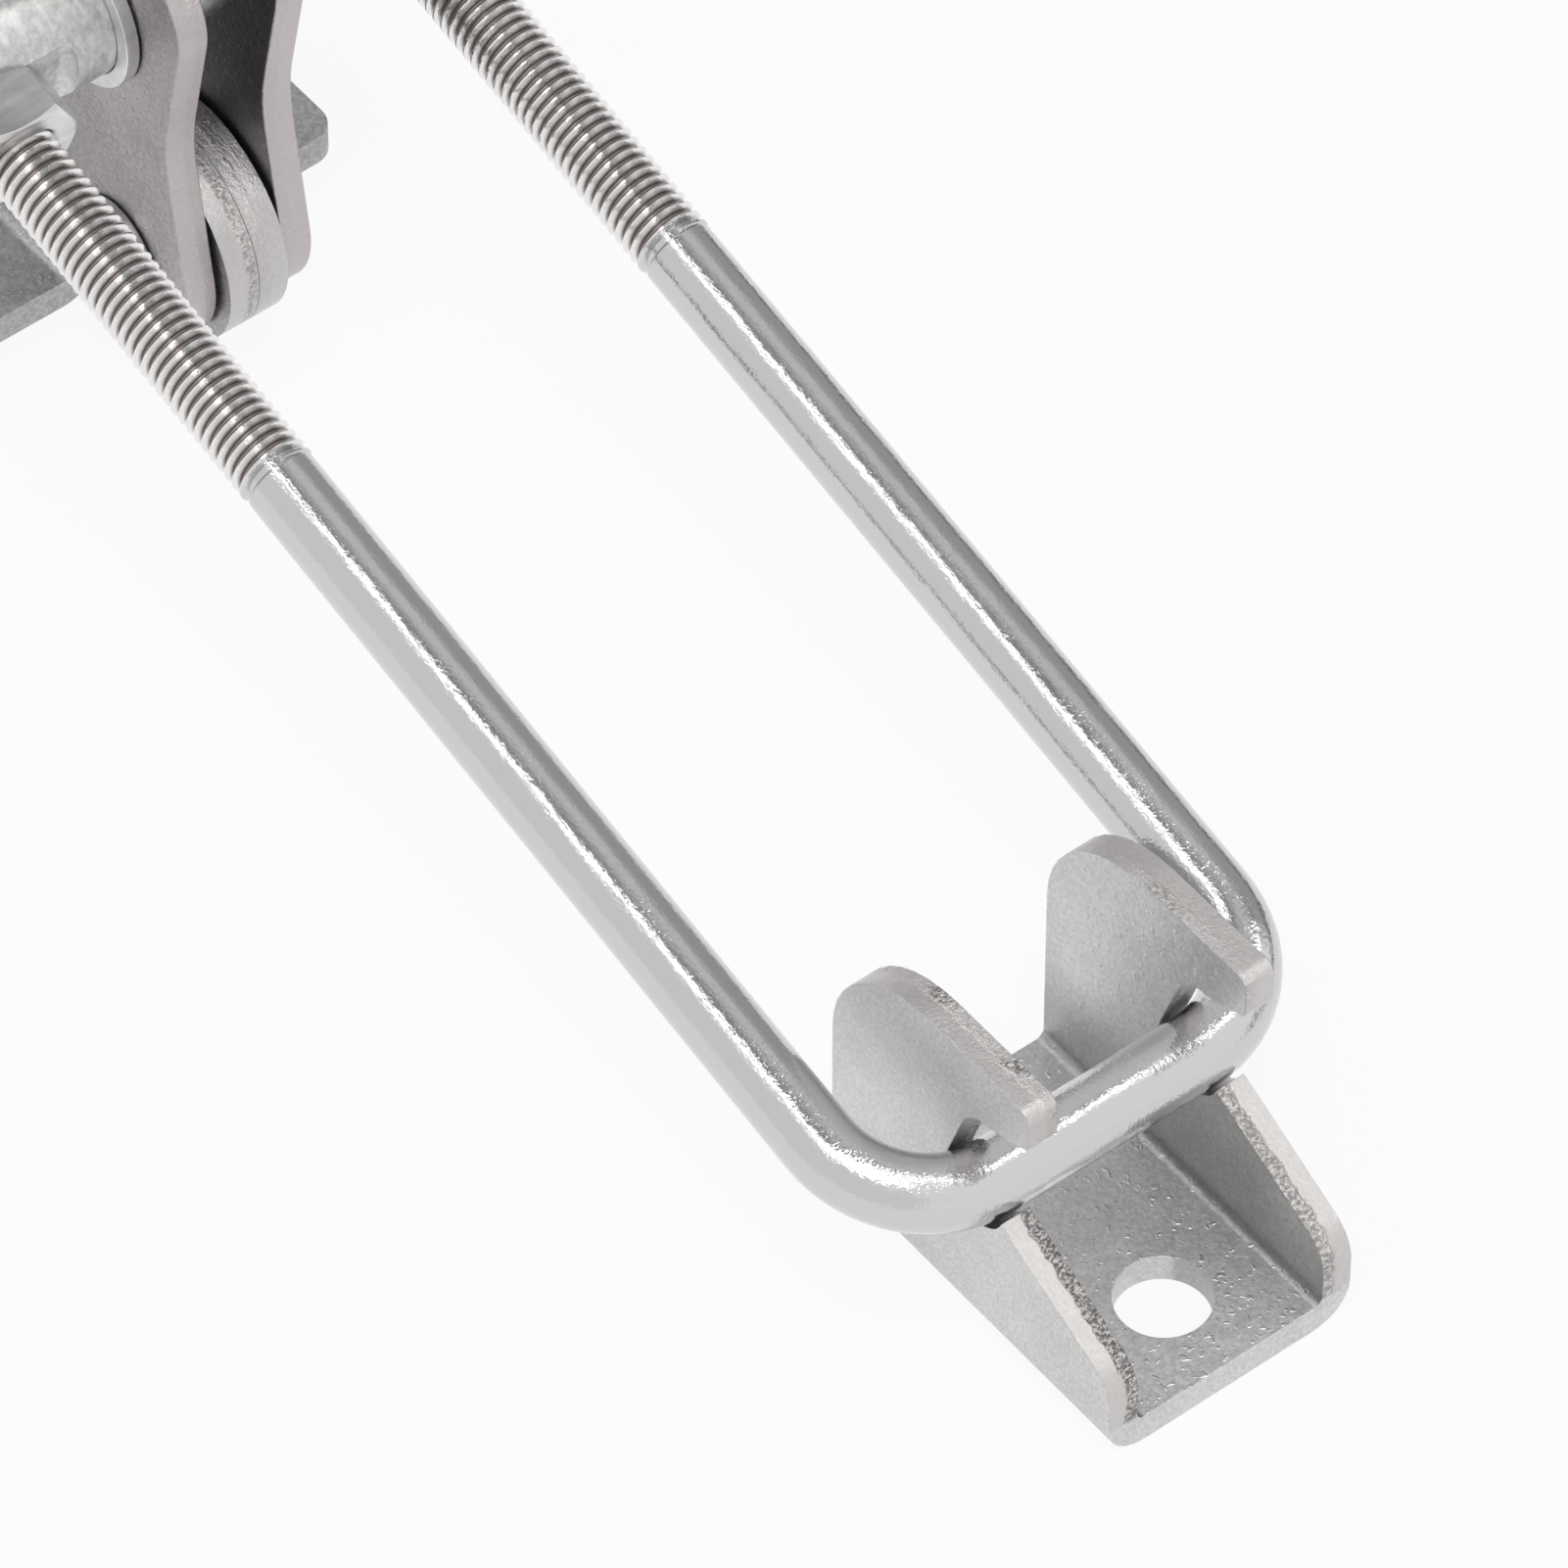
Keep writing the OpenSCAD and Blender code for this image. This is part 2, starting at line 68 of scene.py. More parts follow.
# Half the distance between the U-bolt's legs, then the crossbar's distance from the trunnion
# axis and its height below it, both in millimetres.
LEG_Y = 24.2 * MM
REACH_MM = 153.1
FALL_MM = 35.95
LEG_DROP = math.asin(FALL_MM / REACH_MM)
# Vertices closer than this are one.
WELD = 0.002 * MM
# Faces that meet under the first angle are joined, edges over the second are rounded, and
# edges over the third are shaded sharp.
FLAT_ANGLE = math.radians(0.4)
EDGE_ANGLE = math.radians(32.0)
CREASE_ANGLE = math.radians(35.0)
log = logging.getLogger("toggle_clamp")

Colour = tuple[float, float, float]
Vec = tuple[float, float, float]
WHITE: Colour = (1.0, 1.0, 1.0)


class Flow:
    """An output of a node, on which arithmetic adds Math nodes."""

    def __init__(self, shader: Shader, socket: bpy.types.NodeSocket) -> None:
        """Keep the output and the shader that it belongs to."""
        self.shader = shader
        self.socket = socket

    def math(self, operation: str, *others: Flow | float, swapped: bool = False) -> Flow:
        """Apply one Math operation.

        Args:
            operation: The Math node's operation.
            others: The other operands.
            swapped: Whether this output comes second.

        Returns:
            The result's output.
        """
        values: list[Flow | float] = [self, *others]
        if swapped:
            values.reverse()
        return self.shader.node("ShaderNodeMath", {"operation": operation}, dict(enumerate(values)))

    def __add__(self, other: Flow | float) -> Flow:
        """Add a value."""
        return self.math("ADD", other)

    __radd__ = __add__

    def __sub__(self, other: Flow | float) -> Flow:
        """Take a value away."""
        return self.math("SUBTRACT", other)

    def __rsub__(self, other: float) -> Flow:
        """Take this output away from a value."""
        return self.math("SUBTRACT", other, swapped=True)

    def __mul__(self, other: Flow | float) -> Flow:
        """Multiply by a value."""
        return self.math("MULTIPLY", other)

    __rmul__ = __mul__

    def size(self) -> Flow:
        """Give the distance from zero."""
        return self.math("ABSOLUTE")

    def step(self, low: float, high: float) -> Flow:
        """Rise smoothly from 0 at low to 1 at high, also where low is the larger.

        Args:
            low: The value at which the mask is 0.
            high: The value at which it is 1.

        Returns:
            The mask's output.
        """
        return self.shader.node(
            "ShaderNodeMapRange",
            {"interpolation_type": "SMOOTHSTEP", "clamp": True},
            {"Value": self, "From Min": low, "From Max": high, "To Min": 0.0, "To Max": 1.0},
        )


class Shader:
    """One node material, built output by output."""

    def __init__(self, name: str, world: bool = False) -> None:
        """Start an empty material, or world, of that name."""
        store = bpy.data.worlds if world else bpy.data.materials
        self.end = "ShaderNodeOutputWorld" if world else "ShaderNodeOutputMaterial"
        self.material = store.new(name)
        self.material.use_nodes = True
        self.tree = self.material.node_tree
        self.tree.nodes.clear()

    def node(
        self,
        kind: str,
        settings: dict[str, Any] | None = None,
        inputs: dict[str | int, Flow | float | tuple] | None = None,
        output: str | int = 0,
    ) -> Flow:
        """Add one node.

        Args:
            kind: The node's type.
            settings: Its own settings, set before its sockets.
            inputs: A value or an output for each named socket.
            output: The socket that is given back.

        Returns:
            That socket of the new node.
        """
        new = self.tree.nodes.new(kind)
        for key, value in (settings or {}).items():
            setattr(new, key, value)
        for key, value in (inputs or {}).items():
            socket = new.inputs[key]
            if isinstance(value, Flow):
                self.tree.links.new(value.socket, socket)
            elif socket.type == "RGBA" and len(value) == 3:
                socket.default_value = (*value, 1.0)
            else:
                socket.default_value = value
        return Flow(self, new.outputs[output])

    def place(self) -> Flow:
        """Give the point in the object's own coordinates."""
        return self.node("ShaderNodeTexCoord", output="Object")

    def part_of(self, vector: Flow, axis: str) -> Flow:
        """Give one coordinate of a vector.

        Args:
            vector: The vector's output.
            axis: X, Y or Z.

        Returns:
            The coordinate's output.
        """
        return self.node("ShaderNodeSeparateXYZ", inputs={"Vector": vector}, output=axis)

    def stretched(self, vector: Flow, scale: Vec) -> Flow:
        """Scale a vector along its three axes.

        Args:
            vector: The vector's output.
            scale: The scale along X, Y and Z.

        Returns:
            The scaled vector's output.
        """
        return self.node(
            "ShaderNodeVectorMath", {"operation": "MULTIPLY"}, {0: vector, 1: scale}
        )

    def noise(self, vector: Flow, scale: float, detail: float = 2.0, rough: float = 0.5) -> Flow:
        """Give a noise of about 0 to 1.

        Args:
            vector: Where the noise is read.
            scale: Its blotches for each metre.
            detail: How many finer layers it has.
            rough: How strong those are.

        Returns:
            The noise's output.
        """
        return self.node(
            "ShaderNodeTexNoise",
            inputs={"Vector": vector, "Scale": scale, "Detail": detail, "Roughness": rough},
        )

    def mixed(self, share: Flow, low: Colour | Flow, high: Colour | Flow) -> Flow:
        """Mix two colours.

        Args:
            share: How much of the second there is, from 0 to 1.
            low: The first colour.
            high: The second colour.

        Returns:
            The mixed colour's output.
        """
        return self.node(
            "ShaderNodeMix",
            {"data_type": "RGBA"},
            {0: share, 6: low, 7: high},
            output=2,
        )

    def scaled(self, colour: Flow | Colour, share: Flow) -> Flow:
        """Multiply a colour by one share.

        Args:
            colour: The colour.
            share: How much of it is left.

        Returns:
            The scaled colour's output.
        """
        return self.node("ShaderNodeVectorMath", {"operation": "SCALE"}, {0: colour, 3: share})

    def bump(self, height: Flow, distance: float) -> Flow:
        """Turn a height into a normal.

        Args:
            height: The height, from 0 to 1.
            distance: The height of 1, in metres.

        Returns:
            The normal's output.
        """
        inputs = {"Height": height, "Distance": distance, "Strength": 1.0}
        return self.node("ShaderNodeBump", inputs=inputs)

    def surface(self, **sockets: Any) -> bpy.types.Material:
        """End the material with a principled surface.

        Args:
            sockets: A value or an output for each socket, with _ for a space in its name.

        Returns:
            The finished material.
        """
        inputs = {name.replace("_", " "): value for name, value in sockets.items()}
        self.finish_with(self.node("ShaderNodeBsdfPrincipled", inputs=inputs))
        return self.material

    def finish_with(self, shader: Flow) -> None:
        """Join a shader to the tree's output."""
        self.tree.links.new(shader.socket, self.tree.nodes.new(self.end).inputs["Surface"])


@dataclass(frozen=True)
class Band:
    """Where a wall's sheared edges lie, in millimetres, and how torn they are."""

    inner: float
    outer: float
    floor: float
    tearing: float


class Wall(Enum):
    """The upright walls of the pressed pieces, on both sides of the middle plane."""

    HANDLE = Band(inner=4.1, outer=7.7, floor=-1.0, tearing=0.25)
    WEB = Band(inner=0.0, outer=3.6, floor=5.5, tearing=0.42)
    HOOK = Band(inner=11.3, outer=14.8, floor=4.5, tearing=1.0)


@dataclass(frozen=True)
class TumbledSheet:
    """Stamped stainless sheet, tumbled matt, with sheared edges and painted shade on the faces that
    look at the middle plane.
    """

    name: str
    wall: Wall
    tone: Colour = (0.50, 0.495, 0.49)
    bright: Colour = (0.66, 0.655, 0.65)
    edge: Colour = (0.68, 0.655, 0.645)
    torn_dark: Colour = (0.20, 0.186, 0.183)
    torn_bright: Colour = (0.80, 0.775, 0.765)
    # How much colour is left under the painted shade on the faces that look at the middle plane.
    inner_shade_level: float = 0.45
    edge_rough: float = 0.26
    depth: float = 0.11 * MM

    def material(self) -> bpy.types.Material:
        """Build the material.

        Returns:
            The finished material.
        """
        shade = Shader(self.name)
        place = shade.place()
        facing = shade.part_of(shade.node("ShaderNodeTexCoord", output="Normal"), "Y")
        beside = shade.part_of(place, "Y")
        height = shade.part_of(place, "Z")
        cloud = shade.noise(place, 110.0, 4.0, 0.6)
        speckle = shade.noise(place, 2100.0, 3.0, 0.65)
        pits = shade.noise(place, 720.0, 3.0, 0.65)
        specks = shade.noise(place, 1250.0, 1.0, 0.5).step(0.62, 0.73)
        shards = shade.noise(shade.stretched(place, (3100.0, 1900.0, 3100.0)), 1.0, 4.0, 0.75)
        wander = shade.noise(place, 480.0, 6.0, 0.75) * 1.9 * MM
        sheared = self._sheared(facing, beside, height)
        torn = self._torn(beside, height, cloud, wander)
        skin = shade.mixed((0.3 * cloud + 0.7 * speckle).step(0.36, 0.64), self.tone, self.bright)
        shard = shade.mixed(shards.step(0.44, 0.60), self.torn_dark, self.torn_bright)
        smooth = shade.scaled(self.edge, 0.86 + 0.28 * speckle)
        edge = shade.mixed(torn.step(0.2, 0.6), smooth, shard)
        # Painted shade: darkens the faces that look at the middle plane, and less up the hooks.
        inner_shade_factor = 1.0 - (1.0 - self.inner_shade_level) * self._painted_inner_shade(facing, beside, height)
        colour = shade.scaled(shade.mixed(sheared, skin, edge), inner_shade_factor)
        skin_rough = 0.36 + 0.16 * speckle - 0.12 * specks
        edge_rough = self.edge_rough + 0.10 * torn + 0.12 * speckle
        rough = skin_rough * (1.0 - sheared) + edge_rough * sheared
        skin_height = (0.55 * pits + 0.35 * speckle + 0.4 * specks) * (1.0 - sheared)
        edge_height = (0.35 * pits + 0.2 * speckle + 2.6 * shards * torn + 0.9 * shards) * sheared
        normal = shade.bump(skin_height + edge_height, self.depth)
        return shade.surface(Base_Color=colour, Metallic=1.0, Roughness=rough, Normal=normal)

    def _sheared(self, facing: Flow, beside: Flow, height: Flow) -> Flow:
        """Give 1 on the sheared edges of the walls.

        Args:
            facing: The normal's part across the clamp.
            beside: The place across the clamp.
            height: The height above the mounting plane.

        Returns:
            The mask's output.
        """
        band = self.wall.value
        in_wall = beside.size().step((band.inner - 0.3) * MM, (band.inner - 0.1) * MM)
        side = 1.0 - facing.size().step(0.35, 0.75)
        return side * in_wall * height.step((band.floor - 0.5) * MM, band.floor * MM)

    def _torn(self, beside: Flow, height: Flow, cloud: Flow, wander: Flow) -> Flow:
        """Give 1 where an edge is torn, on its inner part and more on the near side.

        Args:
            beside: The place across the clamp.
            height: The height above the mounting plane.
            cloud: A slow noise that thins the tearing on the hooks' tops.
            wander: How far the torn part's border strays.

        Returns:
            The mask's output.
        """
        band = self.wall.value
        middle = (band.inner + 0.42 * (band.outer - band.inner)) * MM
        torn = 1.0 - (beside.size() + wander).step(middle + 0.7 * MM, middle + 1.1 * MM)
        far = beside.step(-1.0 * MM, 1.0 * MM)
        top = height.step(20.0 * MM, 27.0 * MM) * float(self.wall is Wall.HOOK)
        thinned = 1.0 - 0.72 * top * cloud.step(0.62, 0.42)
        return torn * band.tearing * thinned * (1.0 - 0.55 * far)

    def _painted_inner_shade(self, facing: Flow, beside: Flow, height: Flow) -> Flow:
        """Give 1 where shade is painted: on the faces that look at the middle plane, and less up
        the hooks.

        Args:
            facing: The normal's part across the clamp.
            beside: The place across the clamp.
            height: The height above the mounting plane.

        Returns:
            The mask's output.
        """
        within = (facing * beside).step(-2.5 * MM, -3.5 * MM)
        open_top = height.step(8.0 * MM, 19.0 * MM) * float(self.wall is Wall.HOOK)
        return within * (1.0 - open_top)


@dataclass(frozen=True)
class BrightBolt:
    """Bright bent rod with a rolled thread on each leg."""

    name: str
    pivot: Vec
    drop: float
    leg_y: float
    thread_end: float
    reach: float
    rod: Colour = (0.62, 0.62, 0.62)
    # The thread is coloured lighter than the plain rod as painted light, and its roots darker as
    # painted shade tinted brown.
    lit_thread: Colour = (0.84, 0.83, 0.825)
    shaded_root: Colour = (0.29, 0.252, 0.245)
    depth: float = 0.30 * MM

    def material(self) -> bpy.types.Material:
        """Build the material.

        Returns:
            The finished material.
        """
        shade = Shader(self.name)
        along = shade.node(
            "ShaderNodeMapping",
            {"vector_type": "TEXTURE"},
            {"Vector": shade.place(), "Location": self.pivot, "Rotation": (0.0, self.drop, 0.0)},
        )
        forward = shade.part_of(along, "X")
        aside = shade.part_of(along, "Y").size() - self.leg_y
        above = shade.part_of(along, "Z")
        radius = (aside * aside + above * above).math("POWER", 0.5)
        threaded = 1.0 - forward.step(self.thread_end - 1.5 * MM, self.thread_end - 0.5 * MM)
        deep = (1.0 - radius.step(3.35 * MM, 3.75 * MM)) * threaded
        bent = forward.step(self.reach - 16.0 * MM, self.reach - 7.0 * MM)
        streak = shade.noise(shade.stretched(along, (55.0, 900.0, 900.0)), 1.0, 4.0, 0.6)
        dents = shade.noise(shade.stretched(along, (170.0, 420.0, 420.0)), 1.0, 2.0, 0.5)
        waves = shade.noise(shade.stretched(along, (38.0, 130.0, 130.0)), 1.0, 2.0, 0.5)
        grain = shade.noise(along, 2600.0, 2.0, 0.6)
        clusters = shade.noise(along, 150.0, 2.0, 0.6).step(0.42, 0.62)
        nicks = shade.noise(along, 2100.0, 2.0, 0.6) * clusters
        # Painted shade in the thread's roots, painted light on the rest of the thread.
        colour = shade.mixed(deep, shade.mixed(threaded, self.rod, self.lit_thread), self.shaded_root)
        rough = 0.09 + 0.08 * streak.step(0.35, 0.75) + 0.06 * threaded + 0.14 * deep
        height = 0.22 * waves + 0.20 * dents + 0.12 * grain + 0.10 * streak
        height = height + nicks * (0.11 + 0.07 * bent)
        normal = shade.bump(height * (1.0 - 0.2 * threaded), self.depth)
        return shade.surface(Base_Color=colour, Metallic=1.0, Roughness=rough, Normal=normal)


@dataclass(frozen=True)
class MachinedSteel:
    """Turned or cut steel with fine tool marks along one direction."""

    name: str
    tone: Colour
    bright: Colour
    marks: Vec
    rough: float
    depth: float = 0.02 * MM

    def material(self) -> bpy.types.Material:
        """Build the material.

        Returns:
            The finished material.
        """
        shade = Shader(self.name)
        place = shade.place()
        lines = shade.noise(shade.stretched(place, self.marks), 1.0, 4.0, 0.65)
        mottle = shade.noise(place, 240.0, 3.0, 0.6)
        grain = shade.noise(place, 2300.0, 2.0, 0.5)
        colour = shade.mixed((0.6 * lines + 0.4 * mottle).step(0.3, 0.7), self.tone, self.bright)
        rough = self.rough + 0.12 * mottle + 0.08 * lines
        normal = shade.bump(0.6 * lines + 0.4 * grain + mottle, self.depth)
        return shade.surface(Base_Color=colour, Metallic=1.0, Roughness=rough, Normal=normal)


@dataclass(frozen=True)
class DippedVinyl:
    """Black vinyl sleeve with a fine even grain."""

    name: str
    tone: Colour = (0.012, 0.012, 0.014)
    worn: Colour = (0.030, 0.030, 0.033)
    depth: float = 0.06 * MM

    def material(self) -> bpy.types.Material:
        """Build the material.

        Returns:
            The finished material.
        """
        shade = Shader(self.name)
        place = shade.place()
        pebbles = shade.noise(place, 1500.0, 3.0, 0.55)
        cloud = shade.noise(place, 90.0, 3.0, 0.6)
        colour = shade.mixed(cloud.step(0.4, 0.8), self.tone, self.worn)
        rough = 0.38 + 0.2 * cloud
        normal = shade.bump(pebbles + 0.5 * cloud, self.depth)
        return shade.surface(Base_Color=colour, Metallic=0.0, Roughness=rough, Normal=normal)


@dataclass(frozen=True)
class Piece:
    """A CAD node to dress: how its edges are rounded, and how it is turned, if it is."""

    node: str
    edge_r: float
    segments: int = 2
    turn: Matrix | None = None


class Workshop:
    """Holds the frame and puts finished meshes on their bodies."""

    def __init__(self, frame: dict[str, Any]) -> None:
        """Note the body and the material slot of each CAD node."""
        self.nodes: dict[str, bpy.types.Object] = frame["nodes"]
        record = frame["record"]
        bodies = record["behaviour"]["bodies"]
        self.body_of = {node: body for body, nodes in bodies.items() for node in nodes}
        self.slot_of = {part["node"]: part["material_slot"] for part in record["subparts"]}
        self.joints = {joint["name"]: joint for joint in record["behaviour"]["joints"]}

    def install(self, mesh: bmesh.types.BMesh, node: str, finish: bpy.types.Material) -> None:
        """Make a piece of a mesh, in place of a CAD node.

        Args:
            mesh: The piece's faces, in their place in the frame.
            node: The CAD node that it stands for.
            finish: Its material.
        """
        data = bpy.data.meshes.new(f"{node}_piece")
        mesh.to_mesh(data)
        mesh.free()
        data.shade_smooth()
        data.set_sharp_from_angle(angle=CREASE_ANGLE)
        data.materials.append(finish)
        piece = bpy.data.objects.new(f"{node}_piece", data)
        bpy.context.scene.collection.objects.link(piece)
        even = piece.modifiers.new("even shading", "WEIGHTED_NORMAL")
        even.keep_sharp = True
        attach(piece, self.body_of[node])
        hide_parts(node)
        log.info("%s: %d faces on %s", piece.name, len(data.polygons), self.body_of[node])

    def soften(self, piece: Piece, finish: bpy.types.Material) -> None:
        """Copy a CAD node, round its sharp edges, and install the copy.

        Args:
            piece: The node, with its rounding and its turn.
            finish: Its material.
        """
        mesh = bmesh.new()
        mesh.from_mesh(self.nodes[piece.node].data)
        bmesh.ops.remove_doubles(mesh, verts=mesh.verts, dist=WELD)
        bmesh.ops.dissolve_limit(
            mesh, angle_limit=FLAT_ANGLE, verts=mesh.verts, edges=mesh.edges
        )
        sharp = [
            edge
            for edge in mesh.edges
            if len(edge.link_faces) == 2 and edge.calc_face_angle() > EDGE_ANGLE
        ]
        bmesh.ops.bevel(
            mesh,
            geom=sharp,
            offset=piece.edge_r,
            offset_type="OFFSET",
            affect="EDGES",
            segments=piece.segments,
            profile=0.5,
            clamp_overlap=True,
            material=-1,
        )
        if piece.turn is not None:
            bmesh.ops.transform(mesh, matrix=piece.turn, verts=mesh.verts)
        self.install(mesh, piece.node, finish)


@dataclass
class PressedPlates:
    """The stamped sheet: base plates, handle plates and catch plate."""

    web_edge: float = 0.7 * MM
    handle_edge: float = 0.75 * MM
    catch_edge: float = 0.4 * MM

    def build(self, shop: Workshop) -> None:
        """Dress the plates.

        Args:
            shop: Where the pieces are installed.
        """
        # The three sheets are one steel; the darker tones of the base and handle plates are painted
        # shade.
        web = TumbledSheet(
            "tumbled_base",
            Wall.WEB,
            tone=(0.35, 0.346, 0.343),
            bright=(0.53, 0.525, 0.52),
            edge=(0.56, 0.545, 0.54),
            edge_rough=0.12,
        ).material()
        handle = TumbledSheet(
            "tumbled_handle",
            Wall.HANDLE,
            tone=(0.37, 0.35, 0.352),
            bright=(0.52, 0.497, 0.5),
            edge=(0.55, 0.505, 0.508),
        ).material()
        hook = TumbledSheet(
            "tumbled_catch",
            Wall.HOOK,
            tone=(0.56, 0.557, 0.553),
            bright=(0.73, 0.726, 0.72),
            edge=(0.61, 0.59, 0.582),
            # Lighter painted shade on the catch plate's faces that look at the middle plane.
            inner_shade_level=0.68,
        ).material()
        for side in ("left", "right"):
            shop.soften(Piece(f"base_{side}", self.web_edge, 3), web)
            shop.soften(Piece(f"handle_plate_{side}", self.handle_edge, 3), handle)
        shop.soften(Piece("catch_plate", self.catch_edge, 3), hook)


@dataclass
class Fasteners:
    """The pins, rivets, rings, nuts, bar and spacer."""

    edge: float = 0.15 * MM
    nut_edge: float = 0.25 * MM
    nut_turn: float = math.radians(30.0)

    def build(self, shop: Workshop) -> None:
        """Dress the turned and cut pieces.

        Args:
            shop: Where the pieces are installed.
        """
        turned = MachinedSteel(
            "turned_bar",
            tone=(0.46, 0.457, 0.453),
            bright=(0.78, 0.777, 0.77),
            marks=(900.0, 1300.0, 900.0),
            rough=0.30,
        ).material()
        headed = MachinedSteel(
            "headed_steel",
            tone=(0.48, 0.475, 0.47),
            bright=(0.66, 0.655, 0.65),
            marks=(500.0, 500.0, 500.0),
            rough=0.28,
        ).material()
        cut = MachinedSteel(
            "cut_nuts",
            tone=(0.62, 0.62, 0.615),
            bright=(0.80, 0.80, 0.795),
            marks=(900.0, 120.0, 900.0),
            rough=0.20,
        ).material()
        sheet = TumbledSheet("tumbled_spacer", Wall.HANDLE).material()
        rivets = ("web_rivet_front", "web_rivet_rear", "pivot_pin")
        rivets += ("handle_rivet_lower", "handle_rivet_upper")
        shop.soften(Piece("trunnion_bar", self.edge), turned)
        shop.soften(Piece("handle_spacer", self.edge), sheet)
        for node in rivets:
            shop.soften(Piece(node, self.edge), headed)
        pivot = Vector(shop.joints["ubolt_swing"]["pos_m"])
        for side, y in (("left", LEG_Y), ("right", -LEG_Y)):
            shop.soften(Piece(f"trunnion_ring_{side}", self.edge), cut)
            turn = self._about_leg(pivot, y)
            for end in ("front", "rear"):
                shop.soften(Piece(f"nut_{end}_{side}", self.nut_edge, turn=turn), cut)

    def _about_leg(self, pivot: Vector, y: float) -> Matrix:
        """Give the turn that the photograph shows on the nuts of one leg.

        Args:
            pivot: A point on the trunnion axis.
            y: The leg's place across the clamp.

        Returns:
            The turn about the leg's axis.
        """
        leg = Matrix.Translation((pivot.x, y, pivot.z)) @ Matrix.Rotation(LEG_DROP, 4, "Y")
        return leg @ Matrix.Rotation(self.nut_turn, 4, "X") @ leg.inverted()


@dataclass
class Sleeve:
    """The vinyl grip."""

    edge: float = 0.8 * MM

    def build(self, shop: Workshop) -> None:
        """Dress the grip.

        Args:
            shop: Where the piece is installed.
        """
        shop.soften(Piece("grip", self.edge, 4), DippedVinyl("black_vinyl").material())


